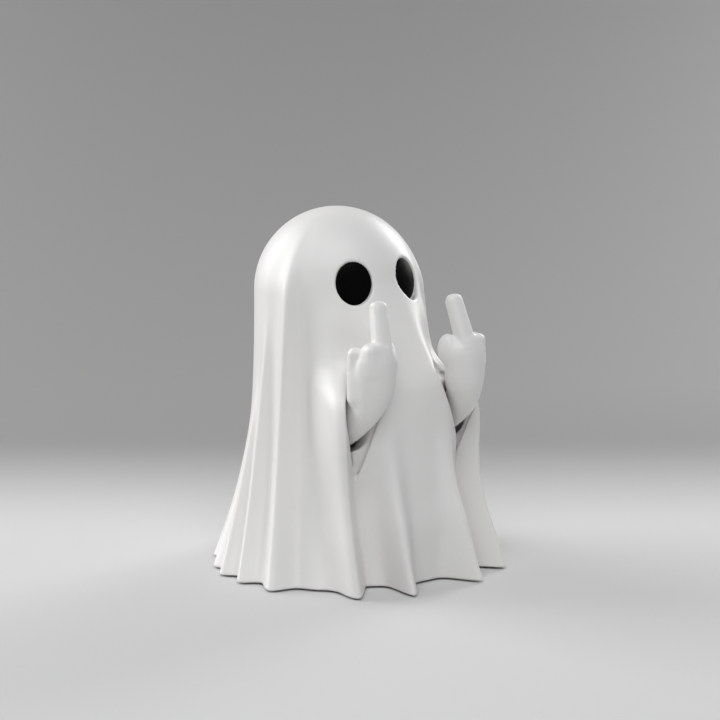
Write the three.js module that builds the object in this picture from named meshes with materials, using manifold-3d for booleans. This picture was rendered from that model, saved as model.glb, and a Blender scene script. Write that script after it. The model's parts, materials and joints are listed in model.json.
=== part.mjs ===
// Ghost table figure: a hollow moulded sheet over an inner carrier, with two arms that rock on pins.
// Millimetres, +Z up, the ghost faces -Y, the origin is on the ground under the middle of the part.
import * as THREE from "three";
import { mergeVertices } from "three/addons/utils/BufferGeometryUtils.js";
import ManifoldModule from "manifold-3d";

// Driving sizes of the sheet
const HEAD_RADIUS = 47; // dome over the head
const HEAD_HEIGHT = 152.2; // centre of the dome above the hem
const HEAD_BACK = 22.7; // how far the dome sits behind the middle of the hem
const FLARE = 27; // growth of the plain ring from the dome to the hem
const FLARE_DRIFT = 0.84; // forward travel of the ring's centre for each mm of growth
const FLARE_POWER = 2.6;
const FLARE_TOP = 162; // the ring starts to grow below this height
const WALL = 2.6; // moulded wall of the sheet
const FOOT_GAP = 0.8; // hem above the ground

// Added radius over the front and over the two shoulders: [height above the hem, mm]
const FRONT_PUSH = [
  [0, -11], [30, 8], [50, 15], [75, 21.5], [104, 27], [118, 21.5], [140, 9.5], [158, 0.8], [172, 0],
];
const SHOULDER_PUSH = [
  [0, -11], [30, 2], [50, 9], [62, 15], [76, 22], [90, 24.5], [103, 22.5], [112, 14], [122, 9], [140, 6],
  [158, 0.8], [172, 0],
];
// Height of the sleeve fold, the ridge that ends in the shoulder over each arm
const SLEEVE_RIDGE = [
  [0, 21.5], [13, 20.5], [24, 18.5], [36, 16], [48, 14.5], [60, 12], [74, 9], [98, 8], [106, 5], [114, 1],
  [120, 0],
];

// Folds of one half, from the front to the back: angle at the hem and at the top in degrees, reach in mm
// at the hem, half width towards the front and the back in degrees, height where it fades, and how fast
const FOLDS = [
  { hem: 16.2, top: 14, reach: 22, front: 5, back: 4.5, fade: 106, power: 1.8 },
  { hem: 36.5, top: 33.3, ridge: SLEEVE_RIDGE, front: 2.4, back: 8 },
  { hem: 70.5, top: 68, reach: 12.5, front: 4.5, back: 8, fade: 168, power: 0.45 },
  { hem: 86.5, top: 91.5, reach: 12.5, front: 4.5, back: 6, fade: 135, power: 0.8 },
  { hem: 99, top: 104, reach: 13, front: 4.5, back: 6, fade: 105, power: 0.9 },
  { hem: 111, top: 119, reach: 11.5, front: 5.5, back: 6, fade: 90, power: 1.3 },
  { hem: 127, top: 132, reach: 10.5, front: 6.5, back: 7, fade: 85, power: 1.5 },
  { hem: 146, top: 150, reach: 11, front: 8, back: 8, fade: 100, power: 1.6 },
  { hem: 166, top: 168, reach: 12, front: 8.5, back: 8.5, fade: 110, power: 1.6 },
];

// Sleeve openings: edge angles in degrees at a height above the hem
const OPENING_BOTTOM = 58;
const OPENING_TOP = 114;
const OPENING_FRONT = [
  [58, 31.2], [64, 29], [72, 26.4], [86, 21.2], [100, 16], [106, 13.9], [110, 14.2], [114, 21],
];
const OPENING_REAR = [[58, 31.4], [70, 31.6], [85, 31.8], [97, 31.8], [106, 30.4], [111, 27], [114, 21]];
// Slot through the front flank of the sleeve fold: [height above the hem, reach past the head's radius]
const FLANK_SLOT = [[62, 19.5], [69, 23.5], [79, 28.3], [89, 33.3], [94, 35.9], [109, 43]];
const FLANK_SLOT_REAR = 44; // degrees
// Sloped floor of each sleeve, under the forearm: its upper edge, its slope and its size
const FLOOR_EDGE_Y = -34;
const FLOOR_EDGE_Z = 71;
const FLOOR_SLOPE = 54; // degrees
const FLOOR_LONG = 24;
const FLOOR_THICK = 2.2;
const FLOOR_INNER = 24; // its free side edge, from the middle plane

// Eyes
const EYE_ANGLE = 23.4; // turned out from straight ahead, degrees
const EYE_TILT = 10.4; // up from the dome's centre, degrees
const EYE_WIDE = 20;
const EYE_HIGH = 24;
const EYE_RECESS = 0.6; // eye face under the sheet's face
const EYE_CENTRE_THICK = 1.9;
const EYE_GAP = 0.3; // all round the eye in its pocket
const EYE_BACKING = 2.4; // sheet behind the pocket
const EYE_BACKING_RIM = 2.2; // backing past the pocket's edge
const EYE_STEM = 1.5; // radius
const EYE_STEM_GAP = 0.2;
const EYE_STEM_LONG = 7;
const EYE_RETAINER = 4.5; // radius
const EYE_RETAINER_THICK = 1.2;

// Base
const PLATE_BOTTOM = 1.6;
const PLATE_THICK = 3;
const PLATE_GAP = 0.3; // between plate and sheet
const PLATE_LEVELS = [PLATE_BOTTOM + PLATE_THICK - FOOT_GAP, PLATE_BOTTOM - FOOT_GAP]; // above the hem
const PAD_RADIUS = 6;
const PAD_GAP = 0.2; // round a pad in its seat
const PAD_SEAT = 0.5; // depth of a pad's seat in the plate
const PAD_RING = HEAD_RADIUS + 3;
const PAD_ANGLES = [0, 90, 180, 270];
const SCREW_HOLE = 1.7;
const SCREW_SHANK = 1.4;
const SCREW_HEAD = 3;
const SCREW_HEAD_GAP = 0.3;
const SCREW_HEAD_THICK = 1.4;
const SCREW_LONG = 11;
const BOSS_RADIUS = 4;
const BOSS_TALL = 14;
const BOSS_INSET = 12; // boss axis in from the sheet's inner face
const PILOT_GAP = 0.1; // round a screw or pin in the piece that holds it
const RIB_THICK = 2.2;
const SHEET_SCREW_ANGLES = [52, -52, 152, -152];

// Arms and their pivots
const DEG = Math.PI / 180;
const PIVOT_ANGLE = 37.2; // from straight ahead, about the head's centre line, degrees
const PIVOT_BEYOND = 9.2; // past the head's radius
const PIVOT_Z = 79;
const HUB_RADIUS = 8;
const HUB_THICK = 8;
const PIN_RADIUS = 2;
const PIN_GAP = 0.3;
const PIN_HEAD_RADIUS = 4;
const PIN_HEAD_THICK = 1.4;
const WASHER_THICK = 1.4;
const WASHER_RADIUS = 6.5;
const CLIP_THICK = 1;
const CLIP_RADIUS = 4.5;
const CLIP_ROOM = 1.2; // round a clip in its counterbore
const PIVOT_BOSS_LONG = 5;
const PIVOT_BOSS_RADIUS = 7;
const SEAT_GAP = 0.15; // between faces that bear on each other

// Pivot place, and the stack along it from the hub inwards
const pivotX = (HEAD_RADIUS + PIVOT_BEYOND) * Math.sin(PIVOT_ANGLE * DEG); // middle of the hub
const pivotY = HEAD_BACK - (HEAD_RADIUS + PIVOT_BEYOND) * Math.cos(PIVOT_ANGLE * DEG);
const hubInner = pivotX - HUB_THICK / 2;
const hubOuter = pivotX + HUB_THICK / 2;
const washerInner = hubInner - SEAT_GAP - WASHER_THICK;
const carrierFace = washerInner - SEAT_GAP;
const clipOuter = carrierFace - PIVOT_BOSS_LONG - SEAT_GAP;

// Inner carrier: [height, half width past its pivot faces, front past the pivots, back past the head's centre]
const CARRIER_RINGS = [
  [0, 11.7, -22, 21.3], [30, 10.7, -19, 19.3], [56, 7.7, -15, 15.3], [63, 2.7, -12, 13.3],
  [68, -0.8, -9, 11.3], [100, -3.3, -6, 9.3], [110, -7.3, -4.5, 5.3], [114, -13.3, -1, 0],
].map(([z, wide, front, back]) => [z, carrierFace + wide, pivotY + front, HEAD_BACK + back]);
const CARRIER_WALL = 2.4;
const CARRIER_CORNERS = 3.2; // power of its rounded oblong rings
const CARRIER_SCREW_Y = 33;
const carrierScrewX = carrierFace + 1.7;
const CARRIER_SCREW_SPOTS = [
  [carrierScrewX, -CARRIER_SCREW_Y], [-carrierScrewX, -CARRIER_SCREW_Y],
  [carrierScrewX, CARRIER_SCREW_Y], [-carrierScrewX, CARRIER_SCREW_Y],
];

const wasm = await ManifoldModule();
wasm.setup();

const clamp = (v, a, b) => Math.min(b, Math.max(a, v));
const smooth = (a, b, v) => {
  const t = clamp((v - a) / (b - a), 0, 1);
  return t * t * (3 - 2 * t);
};
const softPositive = (v, round) => 0.5 * (v + Math.hypot(v, round));

// Smooth curve through short lists of [position, value]
function along(stations, at) {
  const last = stations.length - 1;
  const p = clamp(at, stations[0][0], stations[last][0]);
  let i = 0;
  while (i < last - 1 && p > stations[i + 1][0]) i++;
  const slope = (k) => {
    const a = stations[Math.max(0, k - 1)];
    const b = stations[Math.min(last, k + 1)];
    return (b[1] - a[1]) / (b[0] - a[0]);
  };
  const [x0, y0] = stations[i];
  const [x1, y1] = stations[i + 1];
  const h = x1 - x0;
  const t = (p - x0) / h;
  const t2 = t * t;
  const t3 = t2 * t;
  return (
    (2 * t3 - 3 * t2 + 1) * y0 + (t3 - 2 * t2 + t) * h * slope(i) +
    (3 * t2 - 2 * t3) * y1 + (t3 - t2) * h * slope(i + 1)
  );
}

// The sheet: radius about a centre line that leans back, at an angle from the front and a height
const flareAt = (h) => FLARE * softPositive((FLARE_TOP - h) / FLARE_TOP, 0.05) ** FLARE_POWER;
const centreAt = (h) => HEAD_BACK - FLARE_DRIFT * flareAt(h);

function foldAt(fold, angle, h, filled) {
  const off = angle - fold.hem - (fold.top - fold.hem) * clamp(h / 150, 0, 1);
  if (fold.ridge) {
    const d = Math.abs(off) / (off > 0 ? fold.back : fold.front * (filled ? 5 : 1));
    return along(fold.ridge, h) * Math.exp(-(off > 0 ? d * d : d * d * d));
  }
  const d = off / (off > 0 ? fold.back : fold.front);
  return fold.reach * softPositive(1 - h / fold.fade, 0.06) ** fold.power * Math.exp(-d * d);
}

function sheetRadius(angle, h, ring = HEAD_RADIUS, filled = false) {
  const a = Math.abs(angle);
  const share = ring / HEAD_RADIUS;
  const front = 1 - smooth(10, 30, a);
  const shoulder = smooth(10, 30, a) * (1 - smooth(32, 58, a));
  let added = front * along(FRONT_PUSH, h) + shoulder * along(SHOULDER_PUSH, h);
  for (const fold of FOLDS) added += foldAt(fold, a, h, filled);
  return ring + share * flareAt(h) + share ** 3 * added;
}

// The wall's inner face: the outline at one height, drawn in by a disc of the wall's thickness.
// With the sleeve fold filled towards the front, it is the inner face of the flap behind an opening.
function innerRadius(angle, h, ring, wall, filled = false) {
  let least = Infinity;
  const reach = sheetRadius(angle, h, ring, filled);
  const span = Math.asin(Math.min(0.9, wall / reach)) / DEG;
  for (let k = -4; k <= 4; k++) {
    const turn = (span * k) / 4;
    const wrapped = ((angle + turn + 540) % 360) - 180;
    const r = sheetRadius(wrapped, h, ring, filled);
    const side = r * Math.sin(turn * DEG);
    const reachIn = Math.sqrt(Math.max(0, wall * wall - side * side));
    least = Math.min(least, r * Math.cos(turn * DEG) - reachIn);
  }
  return least;
}

// Columns of the sheet's two faces, and the shift along Y that puts the hem's middle over the origin
function anglesOf(columns, extra) {
  const even = Array.from({ length: columns }, (_, i) => (i * 360) / columns - 180);
  return [...even, ...extra, ...extra.map((a) => -a)].sort((a, b) => a - b);
}
const OUTER_COLUMNS = anglesOf(108, [31.7, 35]);
const INNER_COLUMNS = anglesOf(72, [33.4]);
const hemSpan = OUTER_COLUMNS.map((a) => centreAt(0) - sheetRadius(a, 0) * Math.cos(a * DEG));
const FRAME_SHIFT = -(Math.min(...hemSpan) + Math.max(...hemSpan)) / 2;

function sheetPoint(angle, h, r) {
  const y = centreAt(h) - r * Math.cos(angle * DEG) + FRAME_SHIFT;
  return new THREE.Vector3(r * Math.sin(angle * DEG), y, h + FOOT_GAP);
}

// Solids from three.js geometry, and back
function toSolid(geometry) {
  const plain = new THREE.BufferGeometry().setAttribute("position", geometry.getAttribute("position"));
  if (geometry.index) plain.setIndex(geometry.index);
  const merged = mergeVertices(plain, 1e-4);
  return new wasm.Manifold(
    new wasm.Mesh({
      numProp: 3,
      vertProperties: Float32Array.from(merged.attributes.position.array),
      triVerts: Uint32Array.from(merged.index.array),
    }),
  );
}

function toGeometry(solid) {
  const mesh = solid.getMesh();
  const step = mesh.numProp;
  const points = new Float32Array(mesh.numVert * 3);
  for (let i = 0; i < mesh.numVert; i++) {
    points.set(mesh.vertProperties.subarray(i * step, i * step + 3), i * 3);
  }
  const geometry = new THREE.BufferGeometry();
  geometry.setAttribute("position", new THREE.BufferAttribute(points, 3));
  geometry.setIndex(new THREE.BufferAttribute(new Uint32Array(mesh.triVerts), 1));
  geometry.computeVertexNormals();
  return geometry;
}

const join = (...solids) => wasm.Manifold.union(solids);
const cut = (solid, ...tools) => solid.subtract(wasm.Manifold.union(tools));

// A closed skin over rows of points: each row is a ring, and each end is closed by a fan
function skin(rows, pole) {
  const n = rows[0].length;
  const middle = (row) => row.reduce((s, p) => s.add(p), new THREE.Vector3()).divideScalar(n);
  const points = [];
  for (const row of rows) for (const p of row) points.push(p.x, p.y, p.z);
  points.push(...(pole || middle(rows[0])).toArray(), ...middle(rows[rows.length - 1]).toArray());
  const faces = [];
  const top = rows.length * n;
  const lastRow = (rows.length - 1) * n;
  for (let j = 0; j < n; j++) {
    const k = (j + 1) % n;
    faces.push(top, k, j, top + 1, lastRow + j, lastRow + k);
    for (let i = 0; i < rows.length - 1; i++) {
      const a = i * n;
      const b = a + n;
      faces.push(a + j, a + k, b + k, a + j, b + k, b + j);
    }
  }
  const geometry = new THREE.BufferGeometry();
  geometry.setAttribute("position", new THREE.Float32BufferAttribute(points, 3));
  geometry.setIndex(faces);
  return geometry;
}

function place(geometry, matrix) {
  return geometry.clone().applyMatrix4(matrix);
}

const move = (x, y, z) => new THREE.Matrix4().makeTranslation(x, y, z);

// Round bar standing on z, and the same bar lying along X from x0 to x1
function upright(radius, z0, z1, x = 0, y = 0, sides = 14) {
  const bar = new THREE.CylinderGeometry(radius, radius, z1 - z0, sides).rotateX(Math.PI / 2);
  return toSolid(place(bar, move(x, y, (z0 + z1) / 2)));
}
function crossbar(radius, x0, x1, y, z, sides = 16) {
  const bar = new THREE.CylinderGeometry(radius, radius, Math.abs(x1 - x0), sides).rotateZ(Math.PI / 2);
  return toSolid(place(bar, move((x0 + x1) / 2, y, z)));
}

// The same bar about a pivot, from a to b along it
const pivotBar = (side, radius, a, b, sides = 18) =>
  crossbar(radius, side * a, side * b, pivotY + FRAME_SHIFT, PIVOT_Z, sides);

// Sheet
const DOME_ROWS_OUT = [8, 20, 34, 48, 62, 76, 90];
const DOME_ROWS_IN = [12, 34, 58, 90];
const BODY_ROWS_OUT = [144, 133, 124, 117, 111, 105, 97, 88, 76, 62, 46, 31, 15, 0];
const BODY_ROWS_IN = [120, 112, 104, 92, 76, 56, 34, 16, ...PLATE_LEVELS, -3];

function sheetRows(domeRows, bodyRows, wall) {
  const columns = wall ? INNER_COLUMNS : OUTER_COLUMNS;
  const ringAt = (h, ring) =>
    columns.map((a) =>
      sheetPoint(a, h, wall ? innerRadius(a, Math.max(h, 0), ring, wall) : sheetRadius(a, h, ring)),
    );
  const dome = domeRows.map((d) => {
    const radius = HEAD_RADIUS - wall;
    const h = HEAD_HEIGHT + radius * Math.cos(d * DEG);
    const outer = Math.sqrt(Math.max(0, HEAD_RADIUS ** 2 - (h - HEAD_HEIGHT) ** 2));
    if (!wall) return ringAt(h, outer);
    const plain = radius * Math.sin(d * DEG);
    return columns.map((a) => {
      const grown = sheetRadius(a, h, outer) - outer;
      return sheetPoint(a, h, plain + Math.min(grown, innerRadius(a, h, outer, wall) + wall - outer));
    });
  });
  return [...dome, ...bodyRows.map((h) => ringAt(h, HEAD_RADIUS))];
}

// The space inside the sheet's outer face, drawn in by a wall if one is given
function sheetBody(wall) {
  const rows = sheetRows(wall ? DOME_ROWS_IN : DOME_ROWS_OUT, wall ? BODY_ROWS_IN : BODY_ROWS_OUT, wall);
  return facingOut(skin(rows, sheetPoint(0, HEAD_HEIGHT + HEAD_RADIUS - wall, 0)));
}

// Tool that cuts one sleeve opening, drawn out along the rays from the centre line
function openingTool(side) {
  const steps = 12;
  const heights = Array.from({ length: steps + 1 }, (_, i) => {
    const t = i / steps;
    return OPENING_BOTTOM + (OPENING_TOP - OPENING_BOTTOM) * Math.sin((t * Math.PI) / 2);
  });
  const outline = [];
  for (const h of heights) outline.push([along(OPENING_FRONT, h), h]);
  for (const h of heights.slice(1, -1).reverse()) outline.push([along(OPENING_REAR, h), h]);
  if (THREE.ShapeUtils.isClockWise(outline.map(([a, h]) => new THREE.Vector2(a, h)))) outline.reverse();
  const rows = [53, -2].map((past) => outline.map(([a, h]) => sheetPoint(side * a, h, HEAD_RADIUS + past)));
  const flat = outline.map(([a, h]) => new THREE.Vector2(a, h));
  const caps = THREE.ShapeUtils.triangulateShape(flat, []);
  const n = outline.length;
  const points = rows.flat().flatMap((p) => [p.x, p.y, p.z]);
  const faces = [];
  for (const [a, b, c] of caps) faces.push(a, b, c, n + a, n + c, n + b);
  for (let j = 0; j < n; j++) {
    const k = (j + 1) % n;
    faces.push(j, n + j, n + k, j, n + k, k);
  }
  const geometry = new THREE.BufferGeometry();
  geometry.setAttribute("position", new THREE.Float32BufferAttribute(points, 3));
  geometry.setIndex(faces);
  return facingOut(geometry);
}

// Slot through the flank behind an opening, and the room behind the flap above it, for the forearm
function flankSlot(side) {
  const heights = [64, 72, 80, 88, 94, 100, 106, 109];
  const spread = 8;
  const rows = heights.map((h) => {
    const from = along(OPENING_REAR, h) - 1;
    const step = (FLANK_SLOT_REAR - from) / spread;
    const angles = Array.from({ length: spread + 1 }, (_, k) => from + step * k);
    const most = HEAD_RADIUS + along(FLANK_SLOT, h);
    const face = angles.map((a) =>
      sheetPoint(side * a, h, Math.min(most, innerRadius(a, h, HEAD_RADIUS, WALL, true))),
    );
    const back = [angles[spread], angles[0]].map((a) => sheetPoint(side * a, h, HEAD_RADIUS + 1));
    return [...face, ...back];
  });
  return facingOut(skin(rows));
}

// Floor of a sleeve: a sloped shelf that rises inwards from the foot of the opening
function sleeveFloor(side) {
  const wide = 2 * HEAD_RADIUS;
  const slab = new THREE.BoxGeometry(wide, FLOOR_LONG, FLOOR_THICK);
  slab.translate(wide / 2, -FLOOR_LONG / 2, -FLOOR_THICK / 2);
  const turn = new THREE.Matrix4().makeRotationX(FLOOR_SLOPE * DEG);
  const at = move(FLOOR_INNER, FLOOR_EDGE_Y + FRAME_SHIFT, FLOOR_EDGE_Z);
  const floor = toSolid(place(slab, at.multiply(turn)));
  return side < 0 ? floor.mirror([1, 0, 0]) : floor;
}

// Turns a closed skin the right way round
function facingOut(geometry) {
  const solid = toSolid(geometry);
  if (solid.volume() >= 0) return solid;
  const index = Array.from(geometry.index.array);
  for (let i = 0; i < index.length; i += 3) [index[i + 1], index[i + 2]] = [index[i + 2], index[i + 1]];
  geometry.setIndex(index);
  return toSolid(geometry);
}

// Frame of an eye: its origin on the dome, z out of the face, y up
function eyeFrame(side) {
  const out = new THREE.Vector3(
    side * Math.sin(EYE_ANGLE * DEG) * Math.cos(EYE_TILT * DEG),
    -Math.cos(EYE_ANGLE * DEG) * Math.cos(EYE_TILT * DEG),
    Math.sin(EYE_TILT * DEG),
  );
  const across = new THREE.Vector3(0, 0, 1).cross(out).normalize();
  const up = out.clone().cross(across);
  const centre = new THREE.Vector3(0, HEAD_BACK + FRAME_SHIFT, HEAD_HEIGHT + FOOT_GAP).addScaledVector(
    out,
    HEAD_RADIUS,
  );
  return new THREE.Matrix4().makeBasis(across, up, out).setPosition(centre);
}

// Round bar along an eye's axis
function eyeBar(frame, radius, z0, z1, sides) {
  const bar = new THREE.CylinderGeometry(radius, radius, z1 - z0, sides).rotateX(Math.PI / 2);
  return toSolid(place(bar.translate(0, 0, (z0 + z1) / 2), frame));
}

// Oval disc from z0 up to a face that follows the dome, or flat
function ovalDisc(halfWide, halfHigh, z0, z1, domed = 0, sides = 26) {
  const ring = (share, z) =>
    Array.from({ length: sides }, (_, i) => {
      const t = (i * 2 * Math.PI) / sides;
      const x = halfWide * share * Math.cos(t);
      const y = halfHigh * share * Math.sin(t);
      const drop = domed ? domed - Math.sqrt(domed * domed - x * x - y * y) : 0;
      return new THREE.Vector3(x, y, z - drop);
    });
  const flatRing = (share, z) => ring(share, z).map((p) => p.setZ(z));
  const rows = domed
    ? [ring(0.35, z1), ring(0.68, z1), ring(0.9, z1), ring(1, z1), flatRing(1, z0)]
    : [flatRing(1, z1), flatRing(1, z0)];
  return skin(rows);
}

const eyeDepth = EYE_RECESS + EYE_CENTRE_THICK;

function makeSheet() {
  const outer = sheetBody(0);
  const inner = sheetBody(WALL);
  let sheet = cut(outer, inner, openingTool(1), openingTool(-1), flankSlot(1), flankSlot(-1));
  const body = sheetBody(WALL / 2);
  sheet = join(sheet, sleeveFloor(1).intersect(body), sleeveFloor(-1).intersect(body));
  for (const side of [1, -1]) {
    const frame = eyeFrame(side);
    const wide = EYE_WIDE / 2 + EYE_GAP;
    const high = EYE_HIGH / 2 + EYE_GAP;
    const rim = EYE_BACKING_RIM;
    const floor = -eyeDepth - SEAT_GAP;
    const backing = facingOut(
      place(ovalDisc(wide + rim, high + rim, floor - EYE_BACKING, floor + EYE_RECESS), frame),
    );
    const pocket = facingOut(place(ovalDisc(wide, high, floor, EYE_HIGH / 4), frame));
    const hole = eyeBar(frame, EYE_STEM + EYE_STEM_GAP, -EYE_STEM_LONG, 0, 16);
    sheet = cut(join(sheet, backing), pocket, hole);
  }
  const bosses = SHEET_SCREW_ANGLES.map((a) => sheetBoss(a, body));
  sheet = join(sheet, ...bosses.map((b) => b.boss));
  return cut(sheet, ...bosses.map((b) => b.pilot));
}

const plateTop = PLATE_BOTTOM + PLATE_THICK;

function spot(angle, distance) {
  return [distance * Math.sin(angle * DEG), -distance * Math.cos(angle * DEG) + FRAME_SHIFT];
}

const bossDistance = (angle) => innerRadius(angle, PLATE_LEVELS[0], HEAD_RADIUS, WALL) - BOSS_INSET;

// Boss inside the hem, with a rib to the wall beside it
function sheetBoss(angle, body) {
  const [x, y] = spot(angle, bossDistance(angle));
  const z0 = plateTop + SEAT_GAP;
  const post = upright(BOSS_RADIUS, z0, z0 + BOSS_TALL, x, y);
  const reach = BOSS_INSET + WALL;
  const rib = toSolid(
    place(
      new THREE.BoxGeometry(RIB_THICK, reach, BOSS_TALL).translate(0, -reach / 2, 0),
      new THREE.Matrix4().makeRotationZ(angle * DEG).setPosition(x, y, z0 + BOSS_TALL / 2),
    ),
  );
  return {
    boss: join(post, rib).intersect(body),
    pilot: upright(SCREW_SHANK + PILOT_GAP, z0 - 1, z0 + BOSS_TALL - 2, x, y, 10),
  };
}

function makePlate() {
  const z0 = PLATE_BOTTOM;
  const rims = PLATE_LEVELS.map((h) =>
    INNER_COLUMNS.map((a) => sheetPoint(a, h, innerRadius(a, h, HEAD_RADIUS, WALL) - PLATE_GAP)),
  );
  let plate = facingOut(skin(rims));
  const holes = [
    ...SHEET_SCREW_ANGLES.map((a) => spot(a, bossDistance(a))),
    ...CARRIER_SCREW_SPOTS.map(([x, y]) => [x, y + FRAME_SHIFT]),
  ];
  for (const [x, y] of holes) {
    plate = cut(
      plate,
      upright(SCREW_HOLE, z0 - 1, plateTop + 1, x, y),
      upright(SCREW_HEAD + SCREW_HEAD_GAP, z0 - 1, z0 + SCREW_HEAD_THICK + PILOT_GAP, x, y),
    );
  }
  const seat = PAD_RADIUS + PAD_GAP;
  const seats = PAD_ANGLES.map((a) => upright(seat, z0 - 1, z0 + PAD_SEAT, ...spot(a, PAD_RING), 20));
  return cut(plate, ...seats);
}

function makeCarrier() {
  const sides = 24;
  const base = plateTop + SEAT_GAP;
  const power = 2 / CARRIER_CORNERS;
  const ring = (z, wide, front, back) =>
    Array.from({ length: sides }, (_, i) => {
      const t = (i * 2 * Math.PI) / sides;
      const c = Math.cos(t);
      const s = Math.sin(t);
      const x = Math.sign(c) * Math.abs(c) ** power * wide;
      const y = Math.sign(s) * Math.abs(s) ** power * ((back - front) / 2) + (front + back) / 2;
      return new THREE.Vector3(x, y + FRAME_SHIFT, z);
    });
  const outer = CARRIER_RINGS.map(([z, wide, front, back]) => ring(z || base, wide, front, back));
  const wall = CARRIER_WALL;
  const inner = CARRIER_RINGS.map(([z, wide, front, back], i) => {
    const lid = i === CARRIER_RINGS.length - 1 ? wall : 0;
    return ring(z ? z - lid : base - 1, wide - wall, front + wall, back - wall);
  });
  const body = facingOut(skin(outer.reverse()));
  const shell = cut(body, facingOut(skin(inner.reverse())));
  // Pivot bosses with flat outer faces, and screw bosses inside the foot with a rib to the wall
  const bossEnd = carrierFace - PIVOT_BOSS_LONG;
  const bosses = [1, -1].map((side) => pivotBar(side, PIVOT_BOSS_RADIUS, bossEnd, carrierFace));
  const feet = CARRIER_SCREW_SPOTS.map(([x, y]) => {
    const rib = new THREE.BoxGeometry(2 * BOSS_INSET, RIB_THICK, BOSS_TALL);
    rib.translate(x + Math.sign(x) * BOSS_INSET, y + FRAME_SHIFT, base + BOSS_TALL / 2);
    return join(upright(BOSS_RADIUS, base, base + BOSS_TALL, x, y + FRAME_SHIFT), toSolid(rib)).intersect(body);
  });
  const tools = CARRIER_SCREW_SPOTS.map(([x, y]) =>
    upright(SCREW_SHANK + PILOT_GAP, base - 1, base + BOSS_TALL - 2, x, y + FRAME_SHIFT, 10),
  );
  for (const side of [1, -1]) {
    tools.push(pivotBar(side, PIN_RADIUS + PILOT_GAP, bossEnd - PIVOT_BOSS_LONG, carrierFace + 1));
    tools.push(pivotBar(side, CLIP_RADIUS + CLIP_ROOM, bossEnd - 2 * PIVOT_BOSS_LONG, bossEnd));
  }
  return cut(join(shell, ...bosses, ...feet), ...tools);
}

// Arm, measured from the pivot and the middle of the hub. Rings along a bent spine:
// [x, y, z, half width, half depth, lean of the ring in degrees]
const ARM_RINGS = [
  [0, 2, -3, 4, 7, 50],
  [0.2, -4, 1, 5.5, 8.2, 50],
  [0.6, -12.6, 6.6, 6.2, 9.4, 50],
  [0.4, -21, 12.8, 6.2, 9.8, 46],
  [-0.6, -28.4, 20.2, 7.9, 10.4, 38],
  [-2.8, -32.2, 28.8, 10.8, 10.1, 24],
  [-3.2, -33.2, 37, 12, 9.8, 12],
  [-3.8, -33.8, 43.5, 12.2, 9.4, 4],
  [-4, -33.8, 48.5, 10.6, 8.4, 0],
  [-4.4, -33.6, 52.5, 7, 5.6, 0],
];
const FINGER_BASE = [-5.2, -37.1, 48];
const FINGER_TIP = [-8.1, -29.3, 72.3];
const FINGER_RADII = [4.8, 4.2];
// Folded fingers beside the raised one: [x, y, z, radius across, radius front to back, radius up]
const KNUCKLES = [
  [-1.2, -33.8, 47.4, 7.4, 6.4, 7.8],
  [-13.1, -31.4, 46.7, 5.2, 6, 8.2],
];
// Little finger's edge, down the outer side of the fist
const EDGE_FOOT = [6.2, -27.4, 26];
const EDGE_TOP = [6, -27.6, 49];
const EDGE_RADIUS = 3.9;

function capsule(from, to, r0, r1, sides = 12, caps = 3) {
  const a = new THREE.Vector3(...from);
  const b = new THREE.Vector3(...to);
  const axis = b.clone().sub(a);
  const length = axis.length();
  const profile = [new THREE.Vector2(0, -r0)];
  for (let i = 1; i <= caps; i++) {
    const t = (i / caps) * (Math.PI / 2);
    profile.push(new THREE.Vector2(r0 * Math.sin(t), -r0 * Math.cos(t)));
  }
  for (let i = 0; i < caps; i++) {
    const t = (i / caps) * (Math.PI / 2);
    profile.push(new THREE.Vector2(r1 * Math.cos(t), length + r1 * Math.sin(t)));
  }
  profile.push(new THREE.Vector2(0, length + r1));
  const turn = new THREE.Quaternion().setFromUnitVectors(new THREE.Vector3(0, 1, 0), axis.normalize());
  const matrix = new THREE.Matrix4().makeRotationFromQuaternion(turn).setPosition(a);
  return facingOut(place(indexed(new THREE.LatheGeometry(profile, sides)), matrix));
}

function indexed(geometry) {
  const plain = new THREE.BufferGeometry().setAttribute("position", geometry.getAttribute("position"));
  return mergeVertices(plain.setIndex(geometry.index), 1e-4);
}

function makeArm(side) {
  const sides = 20;
  const rows = ARM_RINGS.map(([x, y, z, wide, deep, lean]) =>
    Array.from({ length: sides }, (_, i) => {
      const t = (i * 2 * Math.PI) / sides;
      const u = wide * Math.cos(t);
      const v = deep * Math.sin(t);
      return new THREE.Vector3(x + u, y + v * Math.cos(lean * DEG), z + v * Math.sin(lean * DEG));
    }),
  );
  const parts = [
    facingOut(skin(rows)),
    capsule(FINGER_BASE, FINGER_TIP, ...FINGER_RADII),
    capsule(EDGE_FOOT, EDGE_TOP, EDGE_RADIUS, EDGE_RADIUS),
    ...KNUCKLES.map(([x, y, z, a, b, c]) => {
      const ball = new THREE.SphereGeometry(1, 12, 8).scale(a, b, c).translate(x, y, z);
      return facingOut(indexed(ball));
    }),
    crossbar(HUB_RADIUS, -HUB_THICK / 2, HUB_THICK / 2, 0, 0, 28),
  ];
  const bore = crossbar(PIN_RADIUS + PIN_GAP, -2 * HUB_THICK, 2 * HUB_THICK, 0, 0, 18);
  const faces = [1, -1].map((end) =>
    toSolid(new THREE.BoxGeometry(HUB_THICK, 26, 20).translate(end * HUB_THICK, 5, -2)),
  );
  const arm = cut(join(...parts), bore, ...faces).translate([pivotX, pivotY + FRAME_SHIFT, PIVOT_Z]);
  return side < 0 ? arm.mirror([1, 0, 0]) : arm;
}

function makeEye(side) {
  const frame = eyeFrame(side);
  const face = facingOut(
    place(ovalDisc(EYE_WIDE / 2, EYE_HIGH / 2, -eyeDepth, -EYE_RECESS, HEAD_RADIUS - EYE_RECESS), frame),
  );
  const stemTop = -eyeDepth + EYE_RECESS;
  return join(face, eyeBar(frame, EYE_STEM, stemTop - EYE_STEM_LONG, stemTop, 16));
}

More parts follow.
